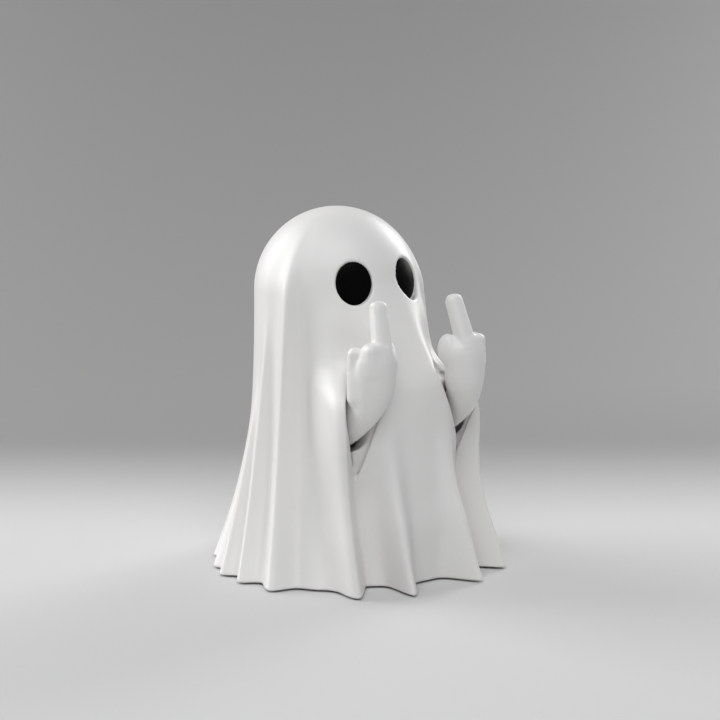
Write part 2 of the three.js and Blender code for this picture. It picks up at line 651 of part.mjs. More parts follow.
function makeEyeRetainer(side) {
  const frame = eyeFrame(side);
  const z1 = -eyeDepth - SEAT_GAP - EYE_BACKING - SEAT_GAP;
  const z0 = z1 - EYE_RETAINER_THICK;
  return cut(eyeBar(frame, EYE_RETAINER, z0, z1, 24), eyeBar(frame, EYE_STEM + PILOT_GAP, z0 - 1, z1 + 1, 16));
}

function makeScrew([x, y]) {
  const z0 = PLATE_BOTTOM + PILOT_GAP;
  return join(
    upright(SCREW_HEAD, z0, z0 + SCREW_HEAD_THICK - PILOT_GAP, x, y),
    upright(SCREW_SHANK, z0 + SCREW_HEAD_THICK / 2, z0 + SCREW_LONG, x, y, 10),
  );
}

function makePad(angle) {
  const [x, y] = spot(angle, PAD_RING);
  return upright(PAD_RADIUS, 0, PLATE_BOTTOM + PAD_SEAT - SEAT_GAP, x, y, 20);
}

function makePin(side) {
  return join(
    pivotBar(side, PIN_HEAD_RADIUS, hubOuter + SEAT_GAP, hubOuter + SEAT_GAP + PIN_HEAD_THICK, 20),
    pivotBar(side, PIN_RADIUS, clipOuter - CLIP_THICK - 1, hubOuter + SEAT_GAP + PIN_HEAD_THICK / 2),
  );
}
const makeWasher = (side) =>
  cut(
    pivotBar(side, WASHER_RADIUS, washerInner, washerInner + WASHER_THICK, 20),
    pivotBar(side, PIN_RADIUS + PIN_GAP, washerInner - 1, washerInner + WASHER_THICK + 1),
  );
const makeClip = (side) =>
  cut(
    pivotBar(side, CLIP_RADIUS, clipOuter - CLIP_THICK, clipOuter, 18),
    pivotBar(side, PIN_RADIUS + PILOT_GAP, clipOuter - CLIP_THICK - 1, clipOuter + 1),
  );

// Materials
const WHITE = { color: 0xe9e7e2, roughness: 0.42, metalness: 0 };
const BLACK = { color: 0x050505, roughness: 0.12, metalness: 0 };
const GREY = { color: 0xb9b6b1, roughness: 0.6, metalness: 0 };
const STEEL = { color: 0xb8babd, roughness: 0.35, metalness: 0.9 };
const RUBBER = { color: 0x2a2a2c, roughness: 0.85, metalness: 0 };

const ghost = new THREE.Group();
ghost.name = "ghost";

function add(name, solid, finish) {
  const mesh = new THREE.Mesh(toGeometry(solid), new THREE.MeshStandardMaterial(finish));
  mesh.name = name;
  ghost.add(mesh);
}

add("drape_shell", makeSheet(), WHITE);
add("inner_carrier", makeCarrier(), WHITE);
add("base_plate", makePlate(), GREY);
for (const [name, side] of [["right", -1], ["left", 1]]) {
  add(name + "_arm", makeArm(side), WHITE);
  add(name + "_arm_pin", makePin(side), STEEL);
  add(name + "_friction_washer", makeWasher(side), RUBBER);
  add(name + "_pin_clip", makeClip(side), STEEL);
  add(name + "_eye", makeEye(side), BLACK);
  add(name + "_eye_retainer", makeEyeRetainer(side), STEEL);
}
SHEET_SCREW_ANGLES.forEach((a, i) =>
  add("sheet_screw_" + (i + 1), makeScrew(spot(a, bossDistance(a))), STEEL),
);
CARRIER_SCREW_SPOTS.forEach(([x, y], i) =>
  add("carrier_screw_" + (i + 1), makeScrew([x, y + FRAME_SHIFT]), STEEL),
);
PAD_ANGLES.forEach((a, i) => add("pad_" + (i + 1), makePad(a), RUBBER));

export default ghost;
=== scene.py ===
# Ghost table figure: the smooth moulded sheet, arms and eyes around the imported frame, in a studio sweep.
import json
import math

import bpy
import bmesh
import numpy as np
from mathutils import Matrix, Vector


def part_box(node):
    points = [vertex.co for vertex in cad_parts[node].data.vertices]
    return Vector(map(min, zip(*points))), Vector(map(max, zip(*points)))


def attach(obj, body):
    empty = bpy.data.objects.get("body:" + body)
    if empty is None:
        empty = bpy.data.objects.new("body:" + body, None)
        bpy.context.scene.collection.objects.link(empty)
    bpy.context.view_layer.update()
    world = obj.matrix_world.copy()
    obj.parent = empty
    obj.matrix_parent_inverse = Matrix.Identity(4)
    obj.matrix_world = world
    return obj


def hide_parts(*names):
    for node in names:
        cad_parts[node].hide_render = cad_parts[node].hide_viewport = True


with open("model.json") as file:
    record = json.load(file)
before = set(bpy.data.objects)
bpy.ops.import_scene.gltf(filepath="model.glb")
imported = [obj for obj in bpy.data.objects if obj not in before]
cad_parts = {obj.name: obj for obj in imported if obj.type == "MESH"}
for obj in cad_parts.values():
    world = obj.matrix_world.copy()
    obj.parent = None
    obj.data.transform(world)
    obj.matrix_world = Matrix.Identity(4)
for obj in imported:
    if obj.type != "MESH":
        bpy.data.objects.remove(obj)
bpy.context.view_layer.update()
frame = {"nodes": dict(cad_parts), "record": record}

import openvdb
from mathutils import Matrix, Vector

MM = 0.001  # the sheet and the arms are worked out in millimetres

# Sheet: a round head that flares towards the hem, with sizes as in the part's source
HEAD_RADIUS = 47
HEAD_HEIGHT = 152.2
HEAD_BACK = 22.7
FLARE = 27
FLARE_DRIFT = 0.84
FLARE_POWER = 2.6
FLARE_TOP = 162
FLARE_SOFT = 0.05
WALL = 2.6
FOOT_GAP = 0.8
# Radius added at the front and the shoulders, by height, and the angles over which each fades
FRONT_FADE = (10, 30)
SHOULDER_FADE = (32, 58)
FRONT_PUSH = [
    (0, -11), (30, 8), (50, 15), (75, 21.5), (104, 27), (118, 21.5), (140, 9.5), (158, 0.8), (172, 0),
]
SHOULDER_PUSH = [
    (0, -11), (30, 2), (50, 9), (62, 15), (76, 22), (90, 24.5), (103, 22.5), (112, 14), (122, 9), (140, 6),
    (158, 0.8), (172, 0),
]
SLEEVE_RIDGE = [
    (0, 21.5), (13, 20.5), (24, 18.5), (36, 16), (48, 14.5), (60, 12), (74, 9), (98, 8), (106, 5), (114, 1),
    (120, 0),
]
RIDGE = dict(hem=36.5, top=33.3, front=2.4, back=8, filled_front=12)
# Folds: hem and top angle, reach, half width to the front and the back, height where it fades, and how fast
FOLD_TURN = 150  # height over which a fold turns from its hem angle to its top angle
FOLD_SOFT = 0.06
FOLDS = [
    (16.2, 14, 22, 5, 4.5, 106, 1.8),
    (70.5, 68, 12.5, 4.5, 8, 168, 0.45),
    (86.5, 91.5, 12.5, 4.5, 6, 135, 0.8),
    (99, 104, 13, 4.5, 6, 105, 0.9),
    (111, 119, 11.5, 5.5, 6, 90, 1.3),
    (127, 132, 10.5, 6.5, 7, 85, 1.5),
    (146, 150, 11, 8, 8, 100, 1.6),
    (166, 168, 12, 8.5, 8.5, 110, 1.6),
]

# Sleeve openings: angle of the front and rear edge by height, a little larger than in the part's source
OPENING_FRONT = [
    (58, 30.4), (64, 27.8), (72, 25.2), (86, 20.8), (100, 16), (107, 14), (113, 13), (120, 13.4),
]
OPENING_REAR = [(58, 31.4), (70, 31.6), (85, 31.8), (97, 31.8), (106, 30.8), (113, 28.6), (120, 26)]
OPENING_BOTTOM = 58
OPENING_TOP = 118
OPENING_CORNER = 9
OPENING_INNER_RADIUS = 45
FLANK_SLOT = [(62, 19.5), (69, 23.5), (79, 28.3), (89, 33.3), (94, 35.9), (109, 43)]
FLANK_SLOT_REAR = 44
FLANK_SLOT_BOTTOM = 64
FLANK_SLOT_TOP = 109
FLANK_SLOT_LAP = 1  # degrees into the opening, and the gap to the head's radius
FLANK_SLOT_LEAN = 0.9  # share of the radius left that counts as distance to the slot's sloping limit
LIP_ROUND = 1.5
EDGE_ROUND = 1.2
HEM_ROUND = 1.4
POCKET_ROUND = 0.7

# Floor of the sleeve, and the lining behind the opening
FLOOR_EDGE = (24, -34, 71)  # inner end of the sleeve floor's upper edge
FLOOR_SLOPE = math.radians(54)
FLOOR_LONG = 24
FLOOR_THICK = 2.2
FLOOR_ROUND = 0.6
LINING_RECESS = 3.5  # below the sheet's skin
LINING_TOP_RECESS = 2.6  # the same, at the top of the opening
LINING_TURN = (97, 108)
LINING_THICK = 15
LINING_REACH = dict(front=4, rear=3, top=1, bottom=3, inner=0.5)
LINING_ROUND = 1.0
LINING_BLEND = 1.4
LINING_GAP = 1.0
LINING_HUB = 12.5
SWING = (-6, -4, -2, 0, 2, 4, 6, 8, 10, 11.6)  # degrees of the arm that the lining leaves free
SWING_BOX = ((8, 58), (-76, -6), (56, 130))
FAR_OFF = 9.0  # distance that stands for anywhere outside that box

# Eyes
EYE_ANGLE = 23.4
EYE_TILT = 10.4
EYE_WIDE = 20
EYE_HIGH = 24
EYE_RECESS = 0.6
EYE_CENTRE_THICK = 1.9
EYE_GAP = 0.3
EYE_BACKING = 2.4
EYE_BACKING_RIM = 2.2
EYE_BACKING_LAP = 0.6
EYE_STEM_RADIUS = 1.5
EYE_STEM_LONG = 6.4
EYE_RIM_FROM = 0.93  # share of the face's width where its edge starts to round off
EYE_RIM_DROP = 0.7
SEAT_GAP = 0.15

# Arms, measured from the pivot and the middle of the hub, and below the fist as in the part's source
PIVOT_ANGLE = math.radians(37.2)
PIVOT_BEYOND = 9.2
PIVOT_X = (HEAD_RADIUS + PIVOT_BEYOND) * math.sin(PIVOT_ANGLE)
PIVOT_Y = HEAD_BACK - (HEAD_RADIUS + PIVOT_BEYOND) * math.cos(PIVOT_ANGLE)
PIVOT_Z = 79
HUB_RADIUS = 8
HUB_THICK = 8
HUB_ROUND = 0.6
HUB_BLEND = 2
HUB_CLEAR = 8
BORE = 2.3
# Forearm rings: centre, half width and half depth
ARM_RINGS = [
    (0, 2, -3, 4, 7),
    (0.2, -4, 1, 5.5, 8.2),
    (0.6, -12.6, 6.6, 6.2, 9.4),
    (0.4, -21, 12.8, 6.2, 9.8),
    (-0.6, -28.4, 20.2, 7.9, 10.4),
    (-2.8, -32.2, 28.8, 10.8, 10.1),
    (-3.2, -33.2, 37, 12, 9.8),
    (-3.8, -33.8, 43.5, 12.2, 9.4),
    (-4, -33.8, 46.6, 10.6, 8.2),
]
RING_STEPS = 3
# Fist: finger, knuckles, outer edge and a block with rounded edges
FINGER_BASE = (-5.2, -37.1, 48)
FINGER_TIP = (-8.1, -29.3, 72.3)
FINGER_RADII = (5, 4.3)
FINGER_SQUARE = 3.2  # power of the finger's cross-section; 2 is round
FINGER_BLEND = 1.0
KNUCKLES = [
    (-1.2, -33.8, 47.4, 7.4, 6.4, 7.8),
    (-13.1, -30.2, 46.4, 5.2, 6, 8.7),
]
KNUCKLE_BLEND = 1.6
EDGE_FOOT = (6.2, -27.4, 26)
EDGE_TOP = (6, -27.6, 49)
EDGE_RADIUS = 3.9
CREASE_TURN = (36, 48)  # heights over which the crease beside the outer edge sharpens
CREASE_SOFT = 4
CREASE_CRISP = 0.8
FIST_LOW = (-9, -41.5, 36)
FIST_HIGH = (6, -31, 55)
FIST_ROUND = 3.6
FIST_BLEND = 2.0

# Where the hem's middle lies along Y, read back from the pivot pin of the frame
pin_low, pin_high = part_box("left_arm_pin")
FRAME_SHIFT = (pin_low[1] + pin_high[1]) / 2 / MM - PIVOT_Y

# Grids on which the sheet and the arms are worked out and meshed
SHEET_STEP = 0.75
SHEET_HALF_WIDE = 90
SHEET_HALF_DEEP = 88
SHEET_LOW = -3
ARM_STEP = 0.5
ARM_BOX = ((-24, 20), (-50, 12), (-12, 80))
BAND = 3  # cells on each side of the surface over which a distance counts


# Curves and blends
def along(stations, at):
    """Smooth curve through the stations, read at one place or many."""
    xs = np.array([s[0] for s in stations], float)
    ys = np.array([s[1] for s in stations], float)
    last = len(xs) - 1
    slope = np.array([
        (ys[min(last, k + 1)] - ys[max(0, k - 1)]) / (xs[min(last, k + 1)] - xs[max(0, k - 1)])
        for k in range(last + 1)
    ])
    p = np.clip(at, xs[0], xs[-1])
    i = np.clip(np.searchsorted(xs, p, side="left") - 1, 0, last - 1)
    span = xs[i + 1] - xs[i]
    t = (p - xs[i]) / span
    t2 = t * t
    t3 = t2 * t
    return (
        (2 * t3 - 3 * t2 + 1) * ys[i] + (t3 - 2 * t2 + t) * span * slope[i]
        + (3 * t2 - 2 * t3) * ys[i + 1] + (t3 - t2) * span * slope[i + 1]
    )


def smooth(a, b, v):
    """Rises from 0 at a to 1 at b, level at both ends."""
    t = np.clip((v - a) / (b - a), 0, 1)
    return t * t * (3 - 2 * t)


def soft_positive(v, round_):
    """The value where it is above 0, else 0, with a rounded corner."""
    return 0.5 * (v + np.hypot(v, round_))


def union(a, b, k):
    """Smallest of two distances, with the inner corner filled over k."""
    h = np.maximum(k - np.abs(a - b), 0) / k
    return np.minimum(a, b) - h * h * k / 4


def common(a, b, k):
    """Largest of two distances, with the outer corner rounded over k."""
    return -union(-a, -b, k)


def flare_at(h):
    """How far the plain ring has grown at a height."""
    return FLARE * soft_positive((FLARE_TOP - h) / FLARE_TOP, FLARE_SOFT) ** FLARE_POWER


def centre_at(h):
    """Where the ring's centre lies along Y at a height."""
    return HEAD_BACK - FLARE_DRIFT * flare_at(h) + FRAME_SHIFT


def added_at(angle, h, filled=False):
    """Radius added to the plain ring by the front, the shoulders and the folds."""
    behind_front = smooth(*FRONT_FADE, angle)
    shoulder = behind_front * (1 - smooth(*SHOULDER_FADE, angle))
    added = (1 - behind_front) * along(FRONT_PUSH, h) + shoulder * along(SHOULDER_PUSH, h)
    turn = np.clip(h / FOLD_TURN, 0, 1)
    off = angle - RIDGE["hem"] - (RIDGE["top"] - RIDGE["hem"]) * turn
    fore = np.abs(off) / RIDGE["filled_front" if filled else "front"]
    rear = np.abs(off) / RIDGE["back"]
    added = added + along(SLEEVE_RIDGE, h) * np.exp(-np.where(off > 0, rear ** 2, fore ** 3))
    for hem, top, reach, ahead, behind, fade, power in FOLDS:
        off = angle - hem - (top - hem) * turn
        d = off / np.where(off > 0, behind, ahead)
        added = added + reach * soft_positive(1 - h / fade, FOLD_SOFT) ** power * np.exp(-d * d)
    return added


# The sheet as a table over angle and height, for quick sampling
ANGLE_STEP = 0.25
HEIGHT_STEP = 0.5
HEIGHT_LOW = -4.0
TABLE_TOP = 204
table_angles = np.arange(0, 180 + ANGLE_STEP, ANGLE_STEP)
table_heights = np.arange(HEIGHT_LOW, TABLE_TOP, HEIGHT_STEP)


def sheet_tables(filled):
    """Added radius, and how much longer a level step is than the distance to the skin."""
    a, h = np.meshgrid(table_angles, table_heights, indexing="ij")
    held = np.clip(h, 0, None)
    added = added_at(a, held, filled)
    radius = HEAD_RADIUS + flare_at(held) + added
    turn = np.gradient(radius, math.radians(ANGLE_STEP), axis=0) / radius
    rise = np.gradient(radius, HEIGHT_STEP, axis=1)
    lean = np.gradient(centre_at(np.clip(table_heights, 0, None)), HEIGHT_STEP)[None, :]
    angle = np.radians(a)
    up = lean * (np.cos(angle) + turn * np.sin(angle)) - rise
    steep = np.sqrt(1 + turn ** 2 + up ** 2)
    return added.astype(np.float32), steep.astype(np.float32)


plain_table = sheet_tables(False)
filled_table = sheet_tables(True)


def sample(table, i, j, fi, fj):
    """Value between the four nearest entries of a table."""
    return (
        table[i, j] * (1 - fi) * (1 - fj) + table[i + 1, j] * fi * (1 - fj)
        + table[i, j + 1] * (1 - fi) * fj + table[i + 1, j + 1] * fi * fj
    )


def matrix_of(across, up, out, place):
    """Matrix from three directions and a place."""
    rows = [[v[k] for v in (across, up, out, place)] for k in range(3)]
    return Matrix((*rows, (0, 0, 0, 1)))


def eye_axes(side):
    """Matrix of an eye, in millimetres: x across, y up and z out of its face."""
    turn = math.radians(EYE_ANGLE)
    tilt = math.radians(EYE_TILT)
    out = Vector((side * math.sin(turn) * math.cos(tilt), -math.cos(turn) * math.cos(tilt), math.sin(tilt)))
    across = Vector((0, 0, 1)).cross(out).normalized()
    up = out.cross(across)
    centre = Vector((0, HEAD_BACK + FRAME_SHIFT, HEAD_HEIGHT + FOOT_GAP)) + out * HEAD_RADIUS
    return matrix_of(across, up, out, centre)


def ellipse_distance(u, v, a, b):
    """Nearly the distance to an ellipse, below 0 inside."""
    k0 = np.hypot(u / a, v / b)
    k1 = np.hypot(u / a ** 2, v / b ** 2)
    return k0 * (k0 - 1) / np.maximum(k1, 1e-6)


def sheet_field(x, y, z, swept):
    """Distance to the moulded sheet on its left half, below 0 inside the wall."""
    h = z - FOOT_GAP
    u = centre_at(np.clip(h, 0, None)) - y
    rho = np.hypot(x, u)
    angle = np.degrees(np.arctan2(x, u))
    ti = np.clip(angle / ANGLE_STEP, 0, len(table_angles) - 1.001)
    tj = np.clip((h - HEIGHT_LOW) / HEIGHT_STEP, 0, len(table_heights) - 1.001)
    i = ti.astype(np.int32)
    j = tj.astype(np.int32)
    fi = (ti - i).astype(np.float32)
    fj = (tj - j).astype(np.float32)
    above = np.clip(h - HEAD_HEIGHT, 0, None)
    ball = np.hypot(rho, above)
    share = np.where(above > 0, rho / np.maximum(ball, 1e-3), 1)
    flare = flare_at(np.clip(h, 0, None))

    def skin(tables):
        """Nearly the distance to the sheet's outer face."""
        added = sample(tables[0], i, j, fi, fj)
        steep = sample(tables[1], i, j, fi, fj)
        lift = share * (share * flare + share ** 3 * added)
        return (ball - HEAD_RADIUS - lift) / np.where(above > 0, 1, steep)

    outer = skin(plain_table)
    filled = skin(filled_table)
    # Sleeve opening, and the slot through the flank behind it
    arc = math.pi / 180 * rho
    front_edge = along(OPENING_FRONT, h)
    rear_edge = along(OPENING_REAR, h)
    opening = np.maximum((front_edge - angle) * arc, (angle - rear_edge) * arc)
    opening = common(opening, h - OPENING_TOP, OPENING_CORNER)
    opening = np.maximum(opening, OPENING_BOTTOM - h)
    opening = np.maximum(opening, OPENING_INNER_RADIUS - rho)
    slot = np.maximum((rear_edge - FLANK_SLOT_LAP - angle) * arc, (angle - FLANK_SLOT_REAR) * arc)
    slot = np.maximum(slot, np.maximum(h - FLANK_SLOT_TOP, FLANK_SLOT_BOTTOM - h))
    slot = np.maximum(slot, HEAD_RADIUS + FLANK_SLOT_LAP - rho)
    slot = common(slot, (rho - HEAD_RADIUS - along(FLANK_SLOT, h)) * FLANK_SLOT_LEAN, LIP_ROUND)
    slot = common(slot, filled + WALL, LIP_ROUND)
    wall = common(outer, -(outer + WALL), EDGE_ROUND)
    wall = common(wall, -opening, LIP_ROUND)
    wall = common(wall, -slot, EDGE_ROUND)
    wall = common(wall, -h, HEM_ROUND)
    # Floor of the sleeve
    dy = y - FLOOR_EDGE[1] - FRAME_SHIFT
    dz = z - FLOOR_EDGE[2]
    down = dy * math.cos(FLOOR_SLOPE) + dz * math.sin(FLOOR_SLOPE)
    over = -dy * math.sin(FLOOR_SLOPE) + dz * math.cos(FLOOR_SLOPE)
    floor = np.maximum(np.maximum(down, -FLOOR_LONG - down), np.maximum(over, -FLOOR_THICK - over))
    floor = common(np.maximum(floor, FLOOR_EDGE[0] - x), outer + WALL / 2, FLOOR_ROUND)
    wall = union(wall, floor, EDGE_ROUND)
    # Lining behind the opening, which leaves the arm's swing and its hub free
    reach = LINING_REACH
    recess = LINING_RECESS + (LINING_TOP_RECESS - LINING_RECESS) * smooth(*LINING_TURN, h)
    lining = np.maximum(outer + recess, -LINING_THICK - recess - outer)
    lining = np.maximum(lining, (front_edge - reach["front"] - angle) * arc)
    lining = np.maximum(lining, (angle - rear_edge - reach["rear"]) * arc)
    lining = np.maximum(lining, h - OPENING_TOP - reach["top"])
    lining = np.maximum(lining, OPENING_BOTTOM + reach["bottom"] - h)
    lining = np.maximum(lining, HEAD_RADIUS + reach["inner"] - rho)
    hub = np.hypot(y - PIVOT_Y - FRAME_SHIFT, z - PIVOT_Z)
    lining = common(lining, LINING_HUB - hub, LINING_ROUND)
    lining = common(lining, LINING_GAP - swept, LINING_ROUND)
    wall = union(wall, lining, LINING_BLEND)
    # Eye pocket with its backing
    m = eye_axes(1).inverted()
    depth = EYE_RECESS + EYE_CENTRE_THICK + SEAT_GAP
    eu = m[0][0] * x + m[0][1] * y + m[0][2] * z + m[0][3]
    ev = m[1][0] * x + m[1][1] * y + m[1][2] * z + m[1][3]
    ew = m[2][0] * x + m[2][1] * y + m[2][2] * z + m[2][3]
    oval = ellipse_distance(eu, ev, EYE_WIDE / 2 + EYE_GAP, EYE_HIGH / 2 + EYE_GAP)
    backing = np.maximum(ew + depth - EYE_BACKING_LAP, -ew - depth - EYE_BACKING)
    wall = np.minimum(wall, np.maximum(oval - EYE_BACKING_RIM, backing))
    return common(wall, -np.maximum(oval, -ew - depth), POCKET_ROUND)


def add_piece(name, mesh, work):
    """Puts the worked mesh into the scene."""
    work.to_mesh(mesh)
    work.free()
    piece = bpy.data.objects.new(name, mesh)
    bpy.context.scene.collection.objects.link(piece)
    return piece


def mesh_from_field(name, field, origin, step):
    """Mesh of the surface where a field crosses zero; the field is positive outside."""
    grid = openvdb.FloatGrid(BAND * step)
    grid.copyFromArray(field)
    grid.transform = openvdb.createLinearTransform(voxelSize=step)
    points, triangles, quads = grid.convertToPolygons(0.0, 0.0)
    points = (points + np.array(origin)) * MM
    mesh = bpy.data.meshes.new(name)
    faces = [tuple(int(v) for v in q) for q in quads] + [tuple(int(v) for v in t) for t in triangles]
    mesh.from_pydata(points.tolist(), [], faces)
    mesh.validate()
    work = bmesh.new()
    work.from_mesh(mesh)
    bmesh.ops.recalc_face_normals(work, faces=work.faces)
    for face in work.faces:
        face.smooth = True
    return add_piece(name, mesh, work)


def swept_arm(xs, ys, zs):
    """Distance to the arm over its whole swing, on the sheet's grid; large away from the sleeve."""
    swept = np.full((len(xs), len(ys), len(zs)), FAR_OFF, np.float32)
    i, j, k = (
        np.flatnonzero((line > low) & (line < high)) for line, (low, high) in zip((xs, ys, zs), SWING_BOX)
    )
    x, y, z = np.meshgrid(xs[i], ys[j], zs[k], indexing="ij", sparse=True)
    x = x - PIVOT_X
    y = y - PIVOT_Y - FRAME_SHIFT
    z = z - PIVOT_Z
    part = np.full((len(i), len(j), len(k)), FAR_OFF)
    for degrees in SWING:
        c, s = math.cos(math.radians(degrees)), math.sin(math.radians(degrees))
        part = np.minimum(part, arm_body(x, y * c + z * s, z * c - y * s))
    swept[i[0]:i[-1] + 1, j[0]:j[-1] + 1, k[0]:k[-1] + 1] = part
    return swept


def make_sheet():
    """The sheet, worked out for one half in level blocks and mirrored."""
    step = SHEET_STEP
    xs = np.arange(0, int(SHEET_HALF_WIDE / step) + 1) * step
    ys = np.arange(-SHEET_HALF_DEEP, SHEET_HALF_DEEP, step)
    zs = np.arange(SHEET_LOW, TABLE_TOP, step)
    swept = swept_arm(xs, ys, zs)
    block = 16
    rows = []
    for k in range(0, len(zs), block):
        x, y, z = np.meshgrid(xs, ys, zs[k:k + block], indexing="ij", sparse=True)
        field = sheet_field(x, y, z, swept[:, :, k:k + block])
        rows.append(np.clip(field, -BAND * step, BAND * step).astype(np.float32))
    right = np.concatenate(rows, axis=2)
    field = np.concatenate([right[:0:-1], right], axis=0)
    return mesh_from_field("sheet_skin", field, (-xs[-1], ys[0], zs[0]), step)


# Arms
def ellipsoid(x, y, z, centre, radii):
    """Nearly the distance to an ellipsoid, below 0 inside."""
    a, b, c = radii
    dx, dy, dz = x - centre[0], y - centre[1], z - centre[2]
    k0 = np.sqrt((dx / a) ** 2 + (dy / b) ** 2 + (dz / c) ** 2)
    k1 = np.sqrt((dx / a ** 2) ** 2 + (dy / b ** 2) ** 2 + (dz / c ** 2) ** 2)
    return k0 * (k0 - 1) / np.maximum(k1, 1e-6)


def round_bar(x, y, z, start, end, r0, r1, power=2.0):
    """Distance to a bar with round ends; a power above 2 squares its sides."""
    a, b = np.array(start, float), np.array(end, float)
    d = b - a
    t = ((x - a[0]) * d[0] + (y - a[1]) * d[1] + (z - a[2]) * d[2]) / d.dot(d)
    t = np.clip(t, 0, 1)
    side = np.abs(x - a[0] - t * d[0])
    rest = np.hypot(y - a[1] - t * d[1], z - a[2] - t * d[2])
    return (side ** power + rest ** power) ** (1 / power) - (r0 + (r1 - r0) * t)


def forearm(x, y, z):
    """Tapered oval bar through the arm's rings."""
    fine = np.linspace(0, len(ARM_RINGS) - 1, RING_STEPS * len(ARM_RINGS))
    cx, cy, cz, wide, deep = (along(list(enumerate(row)), fine) for row in zip(*ARM_RINGS))
    best = None
    for k in range(len(fine) - 1):
        ax, ay, az = cx[k], cy[k], cz[k]
        dx, dy, dz = cx[k + 1] - ax, cy[k + 1] - ay, cz[k + 1] - az
        t = np.clip(((y - ay) * dy + (z - az) * dz) / (dy * dy + dz * dz), 0, 1)
        w = wide[k] + (wide[k + 1] - wide[k]) * t
        d = deep[k] + (deep[k + 1] - deep[k]) * t
        u = x - ax - t * dx
        v = np.hypot(y - ay - t * dy, z - az - t * dz)
        dist = ellipse_distance(u, v, w, d)
        best = dist if best is None else np.minimum(best, dist)
    return best


def block_field(x, y, z, low, high, round_):
    """Distance to a block with rounded edges, given by two corners."""
    parts = [
        np.abs(v - (a + b) / 2) - ((b - a) / 2 - round_) for v, a, b in zip((x, y, z), low, high)
    ]
    outside = np.sqrt(sum(np.maximum(q, 0) ** 2 for q in parts))
    return outside + np.minimum(np.maximum(np.maximum(parts[0], parts[1]), parts[2]), 0) - round_


def arm_body(x, y, z):
    """Distance to the forearm with its fist and finger."""
    body = forearm(x, y, z)
    for knuckle in KNUCKLES:
        body = union(body, ellipsoid(x, y, z, knuckle[:3], knuckle[3:]), KNUCKLE_BLEND)
    body = union(body, block_field(x, y, z, FIST_LOW, FIST_HIGH, FIST_ROUND), FIST_BLEND)
    edge = round_bar(x, y, z, EDGE_FOOT, EDGE_TOP, EDGE_RADIUS, EDGE_RADIUS)
    body = union(body, edge, CREASE_SOFT - (CREASE_SOFT - CREASE_CRISP) * smooth(*CREASE_TURN, z))
    finger = round_bar(x, y, z, FINGER_BASE, FINGER_TIP, *FINGER_RADII, FINGER_SQUARE)
    return union(body, finger, FINGER_BLEND)


def arm_field(x, y, z):
    """Distance to the whole arm: cleared beside the hub, and bored for the pin."""
    body = arm_body(x, y, z)
    across = np.hypot(y, z)
    sides = np.abs(x) - HUB_THICK / 2
    body = union(body, common(across - HUB_RADIUS, sides, HUB_ROUND), HUB_BLEND)
    beside_hub = np.maximum(-sides, np.maximum(-HUB_CLEAR - y, z - HUB_CLEAR))
    body = np.maximum(body, -beside_hub)
    return np.maximum(body, BORE - across)


def blur(field):
    """Each value evened out with its neighbours along the three axes."""
    for axis in range(3):
        padded = np.concatenate([np.take(field, [0], axis), field, np.take(field, [-1], axis)], axis=axis)
        low = np.take(padded, range(0, field.shape[axis]), axis)
        high = np.take(padded, range(2, field.shape[axis] + 2), axis)
        field = (low + 2 * field + high) / 4
    return field


def make_arm(name, side):
    """One arm; the right one, on the negative side, is mirrored from the left."""
    step = ARM_STEP
    xs, ys, zs = (np.arange(low, high, step) for low, high in ARM_BOX)
    field = arm_field(*np.meshgrid(xs, ys, zs, indexing="ij", sparse=True))
    field = blur(np.clip(field, -BAND * step, BAND * step).astype(np.float32))
    low = xs[0] + PIVOT_X
    if side < 0:
        field = field[::-1]
        low = -xs[-1] - PIVOT_X
    origin = (low, ys[0] + PIVOT_Y + FRAME_SHIFT, zs[0] + PIVOT_Z)
    return mesh_from_field(name, np.ascontiguousarray(field), origin, step)


# Eyes
def make_eye(name, side):
    """Oval insert with a face that follows the head, a rounded rim and a stem."""
    frame_of = eye_axes(side)
    rings = 26
    turns = 96
    depth = EYE_RECESS + EYE_CENTRE_THICK
    crown = HEAD_RADIUS - EYE_RECESS
    work = bmesh.new()

    def row(wide, high, height_at):
        """Ring of points on an oval, each at the height that its place asks for."""
        ring = []
        for k in range(turns):
            u = wide * math.cos(2 * math.pi * k / turns)
            v = high * math.sin(2 * math.pi * k / turns)
            ring.append(work.verts.new(frame_of @ Vector((u, v, height_at(u, v)))))
        return ring

    def face_row(share):
        edge = max(0.0, (share - EYE_RIM_FROM) / (1 - EYE_RIM_FROM))
        drop = EYE_RIM_DROP * (1 - math.sqrt(max(0.0, 1 - edge * edge)))
        return row(EYE_WIDE / 2 * share, EYE_HIGH / 2 * share, lambda u, v: (
            -EYE_RECESS - crown + math.sqrt(crown ** 2 - u ** 2 - v ** 2) - drop
        ))

    rows = [face_row(math.sin(math.pi / 2 * (k + 1) / rings)) for k in range(rings)]
    rows.append(row(EYE_WIDE / 2, EYE_HIGH / 2, lambda u, v: -depth))
    rows.append(row(EYE_STEM_RADIUS, EYE_STEM_RADIUS, lambda u, v: -depth))
    rows.append(row(EYE_STEM_RADIUS, EYE_STEM_RADIUS, lambda u, v: -depth - EYE_STEM_LONG))
    top = work.verts.new(frame_of @ Vector((0, 0, -EYE_RECESS)))
    end = work.verts.new(frame_of @ Vector((0, 0, -depth - EYE_STEM_LONG)))
    for k in range(turns):
        n = (k + 1) % turns
        work.faces.new((top, rows[0][k], rows[0][n]))
        for a, b in zip(rows, rows[1:]):
            work.faces.new((a[k], b[k], b[n], a[n]))
        work.faces.new((rows[-1][k], end, rows[-1][n]))
    bmesh.ops.recalc_face_normals(work, faces=work.faces)
    bmesh.ops.scale(work, vec=(MM, MM, MM), verts=work.verts)
    for face in work.faces:
        face.smooth = True
    return add_piece(name, bpy.data.meshes.new(name), work)


